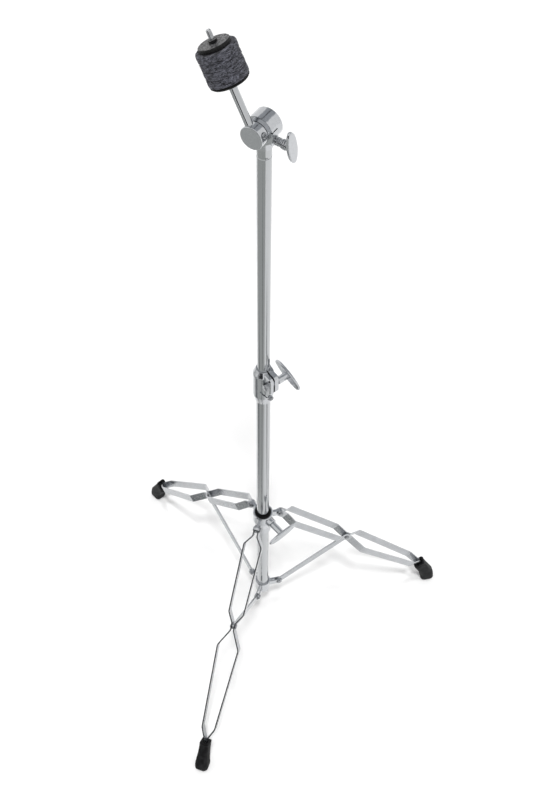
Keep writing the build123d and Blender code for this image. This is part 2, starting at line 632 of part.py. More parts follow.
def tilter_end_cap():
    cap = tilt_bar(CAP_R, DRUM_BACK - CAP_THICK, DRUM_BACK)
    return tilt_place() * (cap + tilt_bar(CAP_R - CAP_THICK, DRUM_BACK, DRUM_BACK + CAP_THICK / 2))


def tilter_wing_screw():
    screw = wing_screw(
        TILTER_THREAD_D,
        TILTER_BOSS_REACH - SHOE_BACK - SIDE_GAP,
        TILTER_THREAD_SHOWN,
        TILTER_STEM_LENGTH,
        TILTER_BLADE_LENGTH,
        TILTER_BLADE_WIDTH,
        TILTER_BLADE_TURN,
    )
    return tilter_screw_place() * Pos(0, 0, TILTER_BOSS_REACH) * screw


def rod_holder():
    """Round block that grips the cymbal arm, with the axle that turns in the housing."""
    block = tilt_bar(HOLDER_D / 2, HOLDER_FRONT, HOLDER_BACK)
    block = fillet(block.edges().filter_by(GeomType.CIRCLE), HOLDER_EDGE)
    block += tilt_bar(AXLE_D / 2, HOLDER_BACK, BRAKE_BACK)
    block -= tilt_bar(PIVOT_BOLT_D / 2, BRAKE_BACK - PIVOT_BOLT_GRIP, BRAKE_BACK + 1)
    holder = tilt_place() * block
    holder -= arm_place() * bar_up(ROD_D / 2, -ROD_TAIL, HOLDER_D)
    holder -= arm_screw_place() * bar_up(SET_SCREW_HEAD_D / 2 + SIDE_GAP, ARM_SCREW_SEAT, HOLDER_D)
    return holder - arm_screw_place() * bar_up(SET_SCREW_R, 0, HOLDER_D)


def tilter_brake_drum():
    """Ring pressed on the axle, held back by the housing's inner shoulder."""
    ring = tilt_bar(BRAKE_D / 2, BRAKE_FRONT + SIDE_GAP, BRAKE_BACK)
    return tilt_place() * (ring - tilt_bar(AXLE_D / 2, 2 * BRAKE_FRONT, 2 * BRAKE_BACK))


def tilter_pivot_washer():
    washer = tilt_bar(PIVOT_WASHER_D / 2, BRAKE_BACK, BRAKE_BACK + PIVOT_WASHER_THICK)
    return tilt_place() * (washer - tilt_bar(PIVOT_BOLT_D / 2, 0, DRUM_BACK))


def tilter_pivot_bolt():
    head_at = BRAKE_BACK + PIVOT_WASHER_THICK
    bolt = tilt_bar(PIVOT_BOLT_D / 2, BRAKE_BACK - PIVOT_BOLT_GRIP, head_at)
    bolt += Rot(0, 90, 0) * hexagon_up(PIVOT_HEAD_ACROSS, head_at, head_at + PIVOT_HEAD_H)
    return tilt_place() * bolt


def arm_set_screw():
    """Square to the arm, it holds the arm in its block."""
    top = ARM_SCREW_SEAT + SET_SCREW_HEAD_H
    head = bar_up(SET_SCREW_HEAD_D / 2, ARM_SCREW_SEAT, top)
    head = fillet(head.edges().group_by(Axis.Z)[-1], SET_SCREW_HEAD_H * 0.45)
    head -= Pos(0, 0, top) * Box(2 * SET_SCREW_HEAD_D, SET_SCREW_HEAD_D / 6, SET_SCREW_HEAD_H)
    return arm_screw_place() * (bar_up(SET_SCREW_R, ROD_D / 2 + RUNNING_FIT, ARM_SCREW_SEAT) + head)


def cymbal_rod():
    rod = bar_up(ROD_D / 2, -ROD_TAIL, ROD_SHOULDER)
    rod = chamfer(rod.edges().group_by(Axis.Z)[-1], ROD_D / 15)
    tip = bar_up(ROD_THREAD_D / 2, ROD_SHOULDER, ROD_TIP)
    tip = chamfer(tip.edges().group_by(Axis.Z)[-1], ROD_THREAD_D / 8)
    return arm_place() * (rod + tip)


def seat_washer():
    """Wide washer under the felts, with a bevelled lower edge."""
    radius = WASHER_D / 2
    bore = ROD_THREAD_D / 2
    top = ROD_SHOULDER + WASHER_THICK
    bevel = WASHER_THICK / 2
    return arm_place() * turned([
        (bore, ROD_SHOULDER),
        (radius - bevel, ROD_SHOULDER),
        (radius, ROD_SHOULDER + bevel),
        (radius, top),
        (bore, top),
    ])


def cymbal_sleeve():
    sleeve = bar_up(SLEEVE_D / 2, ROD_SHOULDER + WASHER_THICK, TOP_NUT_AT - SIDE_GAP)
    return arm_place() * (sleeve - bar_up(ROD_THREAD_D / 2, 0, ROD_TIP))


def felt(number):
    start = FELT_FIRST + number * FELT_PITCH
    ring = bar_up(FELT_D / 2, start, start + FELT_HEIGHT)
    ring = fillet(ring.edges().filter_by(GeomType.CIRCLE), FELT_EDGE)
    return arm_place() * (ring - bar_up(SLEEVE_D / 2 + SIDE_GAP, 0, ROD_TIP))


def top_nut():
    """A round hand nut with a grooved rim and a small hub."""
    top = TOP_NUT_AT + TOP_NUT_H
    nut = bar_up(TOP_NUT_D / 2, TOP_NUT_AT, top)
    nut = chamfer(nut.edges().filter_by(GeomType.CIRCLE), TOP_NUT_H / 8)
    nut += bar_up(TOP_NUT_HUB_D / 2, top, top + TOP_NUT_HUB_H)
    nut -= bar_up(ROD_THREAD_D / 2 + RUNNING_FIT, 0, ROD_TIP)
    for step in range(TOP_NUT_GRIPS):
        groove = bar_up(TOP_NUT_GRIP_D / 2, TOP_NUT_AT - 1, top + 1)
        rim = Pos(TOP_NUT_D / 2 + TOP_NUT_GRIP_D * 0.2, 0, 0)
        nut -= Rot(0, 0, 360 / TOP_NUT_GRIPS * step) * rim * groove
    return arm_place() * nut


def write(node, shape):
    """Write one node's solids as one STEP file."""
    pieces = shape if isinstance(shape, list) else [shape]
    solids = [solid for piece in pieces for solid in piece.solids()]
    export_step(solids[0] if len(solids) == 1 else Compound(solids), f"parts/{node}.step")


def main():
    os.makedirs("parts", exist_ok=True)
    for make in (
        lower_tube, lower_collar, collar_rivets, clamp_body, clamp_insert, clamp_nut,
        clamp_set_screw, clamp_wing_screw, hub_casting, hub_bushing, hub_rivets, hub_wing_screw,
        upper_tube, tilter_housing, tilter_brake_shoe, tilter_neck_pin, tilter_end_cap,
        tilter_wing_screw, rod_holder, tilter_brake_drum, tilter_pivot_washer, tilter_pivot_bolt,
        arm_set_screw, cymbal_rod, seat_washer, cymbal_sleeve, top_nut,
    ):
        write(make.__name__, make())
    for number in range(FELT_COUNT):
        write(f"felt_{number + 1}", felt(number))
    for name, angle in LEG_ANGLES.items():
        write(f"{name}_leg_strip_a", leg_strip(angle, 1))
        write(f"{name}_leg_strip_b", leg_strip(angle, -1))
        write(f"{name}_joint_rivet", joint_rivet(angle))
        write(f"{name}_stay", stay(angle))
        write(f"{name}_rubber_foot", rubber_foot(angle))
    for motion, limits in TRAVELS.items():
        print(motion, limits)


main()
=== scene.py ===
import math
import random

import bmesh
import bpy
from mathutils import Matrix, Vector, noise


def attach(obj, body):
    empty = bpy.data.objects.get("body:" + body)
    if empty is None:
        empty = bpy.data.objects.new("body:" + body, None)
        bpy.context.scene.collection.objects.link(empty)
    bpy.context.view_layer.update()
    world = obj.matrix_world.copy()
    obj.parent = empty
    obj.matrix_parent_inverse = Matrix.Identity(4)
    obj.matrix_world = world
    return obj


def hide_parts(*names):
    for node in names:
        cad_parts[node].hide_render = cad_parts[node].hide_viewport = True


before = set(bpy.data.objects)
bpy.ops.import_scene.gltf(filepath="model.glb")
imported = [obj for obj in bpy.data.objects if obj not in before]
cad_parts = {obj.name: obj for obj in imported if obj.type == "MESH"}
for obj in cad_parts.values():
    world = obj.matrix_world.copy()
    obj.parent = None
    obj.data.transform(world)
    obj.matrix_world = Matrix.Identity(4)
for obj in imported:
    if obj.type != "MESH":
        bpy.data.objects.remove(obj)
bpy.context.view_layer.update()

bl_info = {
    "name": "Straight Cymbal Stand",
    "version": (1, 0, 0),
    "blender": (4, 5, 0),
    "location": "View3D > Sidebar > Cymbal Stand",
    "description": "Finishes the chromed stand and makes its felts, boots and threads",
    "category": "Object",
}

MM = 0.001

# Tilter and cymbal arm, shared with the solids, in millimetres and degrees
TILT_AXIS_Z = 1268.3
TILT_AXIS_ANGLE = 75.0
TILT_LEAN = 26.6
ROD_PLANE = -21.4
LOCK_SCREW_Z = 1254.1
LOCK_BOSS_REACH = 15.0

# Felts on the arm
FELT_FIRST = 73.6
FELT_PITCH = 9.7
FELT_HEIGHT = 9.4
FELT_R = 24.25
SLEEVE_R = 5.0
FELT_BORE_GAP = 0.35
FELT_ODDNESS = 0.25     # the felts differ in radius by this or twice this
FELT_SWELL = 0.3        # a felt bulges this much halfway up its rim
FELT_TOP = 3            # number of the felt under the nut
CORNER_STEPS = 6
RIM_STEPS = 28
FACE_STEPS = 8
BORE_STEPS = 4
ROUND_STEPS = 180

# Matted surface of a felt: its lumps, its layers, where both fade out, and its fibres
LUMP_SIZE = 3.5
LUMP_NOISE = (0.8, 2.1, 4)      # falloff, step between octaves and number of octaves
LUMP_SHARE = 0.6
LAYER_SHARE = 1.3
LAYER_TURN_PER_MM = 1.25
LAYER_SHARPNESS = 4
LAYER_WANDER = (14.0, 1.6)      # distance over which the layers wander, and by how much of a turn
LAYER_PATCH = (20.0, 0.7)       # size of the patches in which they show, and how much they show at least
FACE_SHARE = 0.25
MATTED_FROM_R = SLEEVE_R + 2.0
RIM_FADE = (18.0, 5.0)          # radius where the rim's matting starts, and the width it grows over
FIBRE_HALF_WIDTH = 0.05
FIBRE_ROOT_DEPTH = 0.1
FIBRE_HEIGHTS = (0.05, 0.95)
FIBRE_FACE_SHARE = 0.3
FIBRE_RING = (19.5, 23.0)       # radii between which loose fibres stand on the top felt
FIBRE_LENGTHS = (0.3, 1.0)
FIBRE_OUTWARD = (0.15, 0.55)
FIBRE_SLANT = 0.8

# Legs and the solid feet that the boots stand for
LEG_ANGLES = {"front": -90.0, "right": 30.0, "left": 150.0}
PIVOT_RADIUS = 32.0
HUB_PIVOT_Z = 371.0
OPEN_ANGLE = 45.84
FOOT_ENTRY_AT = 424.0
BOOT_MOUTH = (24.0, 18.0)
BOOT_BASE = (28.0, 26.0)
BOOT_BASE_AHEAD = 10.1
BOOT_TREAD_Z = 6.0
BOOT_SHOULDER_Z = 22.0
BOOT_SHOULDER_INSET = 0.8
BOOT_LOOP_POINTS = 48
BOOT_SLEEVE_STEPS = 12
BOOT_CORNERS = (8.5, 8.1, 3.6)    # of the block under the shoulder, the shoulder and the mouth
BOOT_BLOCK_SHARES = (0.33, 0.66)  # where the block has a section between tread and shoulder
BOOT_LIP_BULGE = 0.05
BOOT_LIP_EDGE = 0.82              # share of the lip's length above its lower edge

# Sole of a boot: height, how much smaller than the base, corner
BOOT_SOLE = ((0.0, 6.2, 6.3), (0.6, 4.8, 7.0), (3.0, 2.1, 7.8), (BOOT_TREAD_Z, 0.2, 8.6))

# Rim of a boot's mouth: shorter and narrower than the mouth, share of its corner, height over it
BOOT_RIM = (
    (0.0, 0.0, 1.0, -1.0), (0.5, 0.5, 1.0, -0.25), (1.8, 1.8, 0.9, 0.0),
    (4.5, 5.0, 0.7, -0.1), (5.5, 6.2, 0.6, -0.7),
)

# Slot that takes the two strips: length, width, corner, height over the mouth
BOOT_SLOT = ((16.4, 8.4, 1.8, -1.6), (14.7, 4.7, 0.6, -2.4), (14.7, 4.7, 0.6, -12.0))

# Threads: shank radius, and where the crest starts and ends along the shank
LOCK_THREAD = (5.0, 0.8, 9.7)
LOCK_RIDGES = (6.0, 11.0, 18.6)
ROD_THREAD = (3.0, 121.7, 131.2)
ROD_CREST_SHARE = 0.3
THREAD_ROOT_DEPTH = 0.2
THREAD_ROOT_HALF = 0.42     # half widths of a crest at its root and its top, as shares of the pitch
THREAD_TOP_HALF = 0.06
THREAD_STEPS = 40

# Viewpoint of the photograph, in metres and degrees
CAMERA_PLACE = (0.3239, -0.9535, 2.124)
CAMERA_AZIMUTH = 108.4875
CAMERA_PITCH = 54.23
CAMERA_ROLL = 0.42
CAMERA_SENSOR = 36.0
CAMERA_REACH = 60.0
FLOOR_DROP = 0.0004     # the paper lies this far under the boots, so that the two never flicker

# Ways that the two lights shine: straight down, and down from over the camera
TOP_AIM = (-0.05, 0.02, -1.0)
FRONT_AIM = (-0.12, 0.32, -1.0)

# Grey cards that only the chrome reflects: name, shade, share of the card that fades, corners in metres
STUDIO_FLAGS = (
    ("floor_flag", "#BEC0BE", 0.24,
     ((-2.6, 0.9, 0.0), (0.02, 0.1, 0.0), (2.6, -2.9, 0.0), (-3.0, -2.9, 0.0))),
    ("floor_line", "#6E7070", 0.45,
     ((-0.05, -0.06, 0.002), (0.0, -0.06, 0.002), (0.07, -1.5, 0.002), (-0.16, -1.5, 0.002))),
    ("side_line", "#74777A", 0.4,
     ((-0.3, 0.02, 0.002), (-0.08, -0.02, 0.002), (-0.5, -0.5, 0.002), (-1.1, -0.3, 0.002))),
    ("right_line", "#4C4F52", 0.4,
     ((0.1, 0.02, 0.002), (0.3, 0.06, 0.002), (1.1, -0.25, 0.002), (0.9, -0.45, 0.002))),
    ("ceiling_flag", "#AEB1B5", 0.12,
     ((-1.2, 0.3, 3.4), (1.6, 0.3, 3.4), (1.6, 3.6, 2.6), (-1.2, 3.6, 2.6))),
    ("ceiling_line", "#3A3C40", 0.4,
     ((-0.2, 0.9, 3.2), (0.2, 0.9, 3.2), (0.4, 3.0, 2.5), (0.0, 3.0, 2.5))),
    ("front_flag", "#2C2D30", 0.12,
     ((-3.2, -3.0, -0.2), (0.9, -3.0, -0.2), (0.9, -3.0, 2.6), (-3.2, -3.0, 2.6))),
)


def linear(colour):
    """An sRGB hex colour as a linear RGBA tuple."""
    channels = [int(colour[i:i + 2], 16) / 255 for i in (1, 3, 5)]
    return tuple(c / 12.92 if c <= 0.04045 else ((c + 0.055) / 1.055) ** 2.4 for c in channels) + (1.0,)


def darker(colour, share):
    """A linear colour at a share of its brightness."""
    return tuple(c * share for c in colour[:3]) + (1.0,)


def mix(near, far, share):
    """The value that lies a share of the way from near to far."""
    return near + (far - near) * share


def colour_property(name, description, colour):
    """A colour that can be changed in the sidebar, with an sRGB hex default."""
    return bpy.props.FloatVectorProperty(
        name=name, description=description, subtype="COLOR", size=4, min=0.0, max=1.0,
        default=linear(colour),
    )


class ChromeFinish(bpy.types.PropertyGroup):
    tube_colour: colour_property("Tube chrome", "Reflection of the drawn and polished tubes", "#BABCBE")
    cast_colour: colour_property("Casting chrome", "Reflection of the plated zinc castings", "#C3C5C8")
    strip_colour: colour_property("Strip chrome", "Reflection of the plated leg strips and stays", "#B9BBBE")
    zinc_colour: colour_property("Zinc plate", "Reflection of the plated screws and rivets", "#A6A8AB")
    tube_haze: bpy.props.FloatProperty(
        name="Tube haze", description="Roughness of the polished tubes",
        default=0.10, min=0.0, max=1.0, subtype="FACTOR",
    )
    strip_haze: bpy.props.FloatProperty(
        name="Strip haze", description="Roughness of the plated strip steel",
        default=0.24, min=0.0, max=1.0, subtype="FACTOR",
    )


class NylonFinish(bpy.types.PropertyGroup):
    black_colour: colour_property("Black nylon", "Lighter tone of the black nylon parts", "#0C0C0D")
    black_shadow: colour_property("Black shadow", "Darker tone of the black nylon parts", "#020202")
    brown_colour: colour_property("Brown nylon", "Lighter tone of the insert and brake shoe", "#3B3029")
    brown_shadow: colour_property("Brown shadow", "Darker tone of the insert and brake shoe", "#1D1714")
    nut_colour: colour_property("Nut side", "Lighter tone of the nut's side", "#1B1B1C")
    # Painted highlight: colour of the grey speckle on the nut's top face
    painted_glint_colour: colour_property("Nut painted glints", "Painted highlight speckle on the nut's top face", "#737375")


class FeltShape(bpy.types.PropertyGroup):
    dark_colour: colour_property("Felt shadow", "Darker fibres of the wool felt", "#07070B")
    light_colour: colour_property("Felt light", "Lighter fibres of the wool felt", "#787984")
    corner: bpy.props.FloatProperty(
        name="Corner", description="Radius of a felt's worn edge", default=0.9 * MM, unit="LENGTH"
    )
    matting: bpy.props.FloatProperty(
        name="Matting", description="Height of the matted lumps on a felt",
        default=0.35 * MM, unit="LENGTH",
    )
    fibre_length: bpy.props.FloatProperty(
        name="Fibre length", description="Longest loose fibre that stands off a felt",
        default=1.6 * MM, unit="LENGTH",
    )
    fibre_count: bpy.props.IntProperty(
        name="Fibres", description="Loose fibres on each felt", default=2600, min=0
    )


class BootShape(bpy.types.PropertyGroup):
    colour: colour_property("Rubber", "Colour of the moulded rubber boots", "#0B0B0C")
    worn_colour: colour_property("Rubbed rubber", "Grey bloom where the rubber is handled", "#232325")
    waist: bpy.props.FloatProperty(
        name="Waist", description="How far a boot draws in between its base and its mouth",
        default=1.6 * MM, unit="LENGTH",
    )
    lip: bpy.props.FloatProperty(
        name="Lip", description="Length of the thicker rim round a boot's mouth",
        default=4.0 * MM, unit="LENGTH",
    )


class ThreadShape(bpy.types.PropertyGroup):
    screw_pitch: bpy.props.FloatProperty(
        name="Lock screw pitch",
        description="Pitch of the tilter's lock screw, drawn coarse so that it shows",
        default=2.6 * MM, unit="LENGTH",
    )
    rod_pitch: bpy.props.FloatProperty(
        name="Rod pitch", description="Pitch of the thread at the rod's tip",
        default=1.0 * MM, unit="LENGTH",
    )
    crest: bpy.props.FloatProperty(
        name="Crest", description="How far a thread's crest stands out", default=0.6 * MM, unit="LENGTH"
    )


class StageSetup(bpy.types.PropertyGroup):
    lens: bpy.props.FloatProperty(
        name="Lens", description="Focal length of the photograph's camera", default=50.0, unit="CAMERA"
    )
    floor_size: bpy.props.FloatProperty(
        name="Floor", description="Half the side of the paper floor", default=14.0, unit="LENGTH"
    )
    sky_level: bpy.props.FloatProperty(
        name="Room light", description="Strength of the white room round the stand", default=0.56
    )
    top_level: bpy.props.FloatProperty(
        name="Top light", description="Strength of the light straight over the stand", default=0.5
    )
    front_level: bpy.props.FloatProperty(
        name="Front light", description="Strength of the high light over the camera", default=1.3
    )
    light_spread: bpy.props.FloatProperty(
        name="Light spread", description="Angle that each light covers, which sets how soft its shadow is",
        default=math.radians(6.0), subtype="ANGLE",
    )


SETTINGS = {
    "stand_chrome": ChromeFinish,
    "stand_nylon": NylonFinish,
    "stand_felt": FeltShape,
    "stand_boot": BootShape,
    "stand_thread": ThreadShape,
    "stand_stage": StageSetup,
}


def add(owner, kind, settings=None, links=None):
    """Add one node to a material or world, with its settings and links.

    A setting goes to the input of that name or number, to a colour ramp's stops or to the
    node itself. A link comes from a socket, or from the first output of a node.
    """
    tree = owner.node_tree
    node = tree.nodes.new(kind)
    for name, value in (settings or {}).items():
        if name == "stops":
            for stop, (position, colour) in zip(node.color_ramp.elements, value):
                stop.position, stop.color = position, colour
        elif isinstance(name, int) or name in node.inputs:
            node.inputs[name].default_value = value
        else:
            setattr(node, name, value)
    for name, source in (links or {}).items():
        socket = source.outputs[0] if isinstance(source, bpy.types.Node) else source
        tree.links.new(socket, node.inputs[name])
    return node


def new_material(name):
    """An empty material."""
    material = bpy.data.materials.new(name)
    material.use_nodes = True
    material.node_tree.nodes.clear()
    return material


def piece_place(material, stretch=(1.0, 1.0, 1.0)):
    """A piece's own coordinates in millimetres, so that a pattern's Scale is one over its size."""
    return add(
        material, "ShaderNodeMapping", {"Scale": tuple(s / MM for s in stretch)},
        {"Vector": add(material, "ShaderNodeTexCoord").outputs["Object"]},
    )


def close_surface(material, settings, tone, rough=None, relief=None):
    """Give a material its shader, whose colour, roughness and relief follow patterns.

    rough is a pattern and the roughness at its low and high marks. relief is a pattern, its
    strength and its height in millimetres.
    """
    links = {"Base Color": tone}
    if rough:
        pattern, low, high = rough
        links["Roughness"] = add(
            material, "ShaderNodeMapRange",
            {"From Min": 0.3, "From Max": 0.7, "To Min": low, "To Max": high}, {"Value": pattern},
        )
    if relief:
        pattern, strength, height = relief
        links["Normal"] = add(
            material, "ShaderNodeBump", {"Strength": strength, "Distance": height * MM}, {"Height": pattern}
        )
    shader = add(material, "ShaderNodeBsdfPrincipled", settings, links)
    add(material, "ShaderNodeOutputMaterial", links={"Surface": shader})
    return material


def polished_chrome_tube(finish):
    """Chrome over nickel on drawn tube.

    A near mirror with a thin haze, faint buffing lines along the tube and a slow ripple,
    so reflections run in long soft bands. The lines are drawn 1.2 mm wide so that they show.
    """
    material = new_material("polished_chrome_tube")
    place = piece_place(material, stretch=(1.0, 1.0, 0.03))
    colour = tuple(finish.tube_colour)
    lines = add(
        material, "ShaderNodeTexNoise",
        {"Scale": 1 / 1.2, "Detail": 6.0, "Roughness": 0.7}, {"Vector": place},
    )
    ripple = add(
        material, "ShaderNodeTexNoise",
        {"Scale": 1 / 12, "Detail": 3.0, "Roughness": 0.55}, {"Vector": place},
    )
    tone = add(
        material, "ShaderNodeValToRGB",
        {"stops": ((0.3, darker(colour, 0.94)), (0.7, colour))}, {"Fac": ripple},
    )
    haze = finish.tube_haze
    return close_surface(
        material, {"Metallic": 1.0}, tone, (lines, haze * 0.7, haze * 1.5), (ripple, 0.06, 0.05)
    )


def chromed_zinc_casting(finish):
    """Chrome over a polished zinc die casting.

    Bright, with softened edges, a gentle unevenness about 7 mm wide from hand buffing and a
    few hazy spots, so reflections wobble a little.
    """
    material = new_material("chromed_zinc_casting")
    place = piece_place(material)
    colour = tuple(finish.cast_colour)
    wave = add(
        material, "ShaderNodeTexNoise",
        {"Scale": 1 / 7, "Detail": 3.0, "Roughness": 0.5}, {"Vector": place},
    )
    haze = add(
        material, "ShaderNodeTexNoise",
        {"Scale": 1 / 2.5, "Detail": 6.0, "Roughness": 0.6}, {"Vector": place},
    )
    tone = add(
        material, "ShaderNodeValToRGB",
        {"stops": ((0.35, darker(colour, 0.90)), (0.62, colour))}, {"Fac": haze},
    )
    return close_surface(material, {"Metallic": 1.0}, tone, (haze, 0.07, 0.20), (wave, 0.6, 0.45))


def chromed_strip_steel(finish):
    """Chrome on rolled and bent strip.

    Duller than the tubes, with rolling grain under the plating, so the flats read as
    even grey with cloudy patches at the bends. The grain is drawn 0.9 mm wide so that it
    shows.
    """
    material = new_material("chromed_strip_steel")
    place = piece_place(material)
    colour = tuple(finish.strip_colour)
    cloud = add(
        material, "ShaderNodeTexNoise",
        {"Scale": 1 / 18, "Detail": 4.0, "Roughness": 0.55}, {"Vector": place},
    )
    grain = add(
        material, "ShaderNodeTexNoise",
        {"Scale": 1 / 0.9, "Detail": 7.0, "Roughness": 0.7}, {"Vector": place},
    )
    tone = add(
        material, "ShaderNodeValToRGB",
        {"stops": ((0.3, darker(colour, 0.88)), (0.7, colour))}, {"Fac": cloud},
    )
    haze = finish.strip_haze
    return close_surface(
        material, {"Metallic": 1.0}, tone, (grain, haze * 0.6, haze * 1.4), (cloud, 0.30, 0.5)
    )


def zinc_plated_steel(finish):
    """Bright zinc on small turned and headed steel.

    Greyer and softer than the chrome, with tool marks drawn 0.7 mm wide so that they show.
    """
    material = new_material("zinc_plated_steel")
    place = piece_place(material)
    colour = tuple(finish.zinc_colour)
    marks = add(
        material, "ShaderNodeTexNoise",
        {"Scale": 1 / 0.7, "Detail": 6.0, "Roughness": 0.65}, {"Vector": place},
    )
    tone = add(
        material, "ShaderNodeValToRGB",
        {"stops": ((0.3, darker(colour, 0.72)), (0.72, colour))}, {"Fac": marks},
    )
    return close_surface(material, {"Metallic": 1.0}, tone, (marks, 0.16, 0.38), (marks, 0.15, 0.08))


def cut_thread_steel(finish):
    """Cut thread on plated steel: bright crests over dark oily roots."""
    material = new_material("cut_thread_steel")
    place = piece_place(material)
    colour = tuple(finish.zinc_colour)
    oil = add(
        material, "ShaderNodeTexNoise",
        {"Scale": 1 / 1.1, "Detail": 5.0, "Roughness": 0.6}, {"Vector": place},
    )
    tone = add(
        material, "ShaderNodeValToRGB",
        {"stops": ((0.35, darker(colour, 0.6)), (0.65, colour))}, {"Fac": oil},
    )
    return close_surface(material, {"Metallic": 1.0}, tone, (oil, 0.18, 0.34))


def moulded_nylon(name, shadow, colour, pebble):
    """Black or brown glass-filled nylon.

    Satin, with the pebbled skin of an etched mould. Its specular level is low, so that the
    white room doesn't grey it.
    """
    material = new_material(name)
    place = piece_place(material)
    cells = add(material, "ShaderNodeTexVoronoi", {"Scale": 1 / pebble}, {"Vector": place})
    cloud = add(
        material, "ShaderNodeTexNoise",
        {"Scale": 1 / 2.6, "Detail": 6.0, "Roughness": 0.6}, {"Vector": place},
    )
    tone = add(
        material, "ShaderNodeValToRGB",
        {"stops": ((0.36, tuple(shadow)), (0.66, tuple(colour)))}, {"Fac": cloud},
    )
    return close_surface(
        material, {"Specular IOR Level": 0.12}, tone, (cloud, 0.37, 0.57), (cells, 1.0, 0.9)
    )


def nut_nylon_with_painted_glints(finish):
    """Black moulded nylon whose top face is pebbled, with grey speckle that is a painted highlight.

    The painted highlight lies only where the surface faces up the cymbal arm, in place of
    the glints of lamps.
    """
    material = new_material("black_nylon_with_painted_glints")
    place = piece_place(material)
    marks = add(
        material, "ShaderNodeTexNoise",
        {"Scale": 1 / 2.2, "Detail": 6.0, "Roughness": 0.7, "Distortion": 0.8}, {"Vector": place},
    )
    up_arm = arm_place().to_3x3() @ Vector((0.0, 0.0, 1.0))
    facing = add(
        material, "ShaderNodeVectorMath", {"operation": "DOT_PRODUCT", 1: tuple(up_arm)},
        {0: add(material, "ShaderNodeTexCoord").outputs["Normal"]},
    )
    # Mask of the top face, which gets the painted highlight
    top = add(
        material, "ShaderNodeMapRange", {"From Min": 0.75, "From Max": 0.97, "To Min": 0.0, "To Max": 1.0},
        {"Value": facing.outputs["Value"]},
    )
    side = add(
        material, "ShaderNodeValToRGB",
        {"stops": ((0.42, tuple(finish.black_shadow)), (0.6, tuple(finish.nut_colour)))}, {"Fac": marks},
    )
    # Painted highlight: grey speckle on the top face, in place of the glints of lamps
    painted_glints = add(
        material, "ShaderNodeValToRGB",
        {"stops": ((0.47, linear("#060607")), (0.56, tuple(finish.painted_glint_colour)))}, {"Fac": marks},
    )
    both = add(material, "ShaderNodeMix", {"data_type": "RGBA"}, {0: top, 6: side, 7: painted_glints})
    return close_surface(
        material, {"Specular IOR Level": 0.3}, both.outputs[2], (marks, 0.5, 0.25), (marks, 0.8, 0.8)
    )


def moulded_rubber(boot):
    """Black moulded rubber.

    Matt, pitted at about half a millimetre, with a grey bloom on its swelling sides. Its
    specular level is low, so that the white room doesn't grey it.
    """
    material = new_material("moulded_black_rubber")
    place = piece_place(material)
    pits = add(
        material, "ShaderNodeTexNoise",
        {"Scale": 1 / 0.6, "Detail": 8.0, "Roughness": 0.7}, {"Vector": place},
    )
    bloom = add(
        material, "ShaderNodeTexNoise",
        {"Scale": 1 / 9, "Detail": 7.0, "Roughness": 0.6}, {"Vector": place},
    )
    tone = add(
        material, "ShaderNodeValToRGB",
        {"stops": ((0.38, tuple(boot.colour)), (0.68, tuple(boot.worn_colour)))}, {"Fac": bloom},
    )
    return close_surface(
        material, {"Specular IOR Level": 0.15}, tone, (pits, 0.48, 0.72), (pits, 0.4, 0.2)
    )


def needled_felt(felt):
    """Charcoal wool felt, needled and pressed.

    Matted fibres in lighter and darker greys, laid in thin uneven layers round the rim,
    with a faint bloom at glancing angles. Fibres are drawn coarse so that they show: mats
    about 1.9 mm wide, and layers 1.3 mm thick that run some 6 mm along the rim.
    """
    material = new_material("needled_wool_felt")
    mats = add(
        material, "ShaderNodeTexNoise",
        {"Scale": 1 / 1.9, "Detail": 7.0, "Roughness": 0.75, "Distortion": 1.5},
        {"Vector": piece_place(material)},
    )
    own = add(material, "ShaderNodeAttribute", {"attribute_name": "felt_place"})
    flat = add(
        material, "ShaderNodeMapping",
        {"Scale": (0.22, 0.22, 1.0)}, {"Vector": own.outputs["Vector"]},
    )
    layers = add(
        material, "ShaderNodeTexNoise",
        {"Scale": 1 / 1.3, "Detail": 5.0, "Roughness": 0.65, "Distortion": 0.6}, {"Vector": flat},
    )
    both = add(material, "ShaderNodeMath", {"operation": "ADD"}, {0: mats, 1: layers})
    half = add(material, "ShaderNodeMath", {"operation": "MULTIPLY", 1: 0.5}, {0: both})
    tone = add(
        material, "ShaderNodeValToRGB",
        {"stops": ((0.45, tuple(felt.dark_colour)), (0.575, tuple(felt.light_colour)))}, {"Fac": half},
    )
    wool = {"Roughness": 0.95, "Specular IOR Level": 0.08, "Sheen Weight": 0.12, "Sheen Roughness": 0.6}
    return close_surface(material, wool, tone, relief=(half, 1.0, 2.2))


def white_paper():
    """Matt white paper, so even that it only keeps a shadow."""
    material = new_material("white_paper")
    tooth = add(
        material, "ShaderNodeTexNoise", {"Scale": 1 / 4, "Detail": 4.0, "Roughness": 0.55},
        {"Vector": piece_place(material)},
    )
    tone = add(
        material, "ShaderNodeValToRGB",
        {"stops": ((0.2, linear("#FEFEFE")), (0.5, linear("#FFFFFF")))}, {"Fac": tooth},
    )
    return close_surface(material, {"Roughness": 0.95, "Specular IOR Level": 0.0}, tone)


def dress(nodes, material):
    """Give carried-over solids their finish."""
    for name in nodes:
        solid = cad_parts[name]
        solid.data.materials.clear()
        solid.data.materials.append(material)


def object_from(build, name, material):
    """Turn a finished bmesh into an object in the scene."""
    mesh = bpy.data.meshes.new(name)
    build.to_mesh(mesh)
    build.free()
    mesh.materials.append(material)
    made = bpy.data.objects.new(name, mesh)
    bpy.context.scene.collection.objects.link(made)
    return made


def piece_from(build, name, material, body):
    """Turn a finished bmesh into a smooth piece that rides on a body."""
    bmesh.ops.recalc_face_normals(build, faces=build.faces)
    piece = object_from(build, name, material)
    for face in piece.data.polygons:
        face.use_smooth = True
    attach(piece, body)
    return piece


def arm_place():
    """Local Z runs up the cymbal arm from the tilt axis."""
    place = Matrix.Translation((0, 0, TILT_AXIS_Z * MM))
    place = place @ Matrix.Rotation(math.radians(TILT_AXIS_ANGLE), 4, "Z")
    place = place @ Matrix.Translation((ROD_PLANE * MM, 0, 0))
    return place @ Matrix.Rotation(-math.radians(TILT_LEAN), 4, "X")


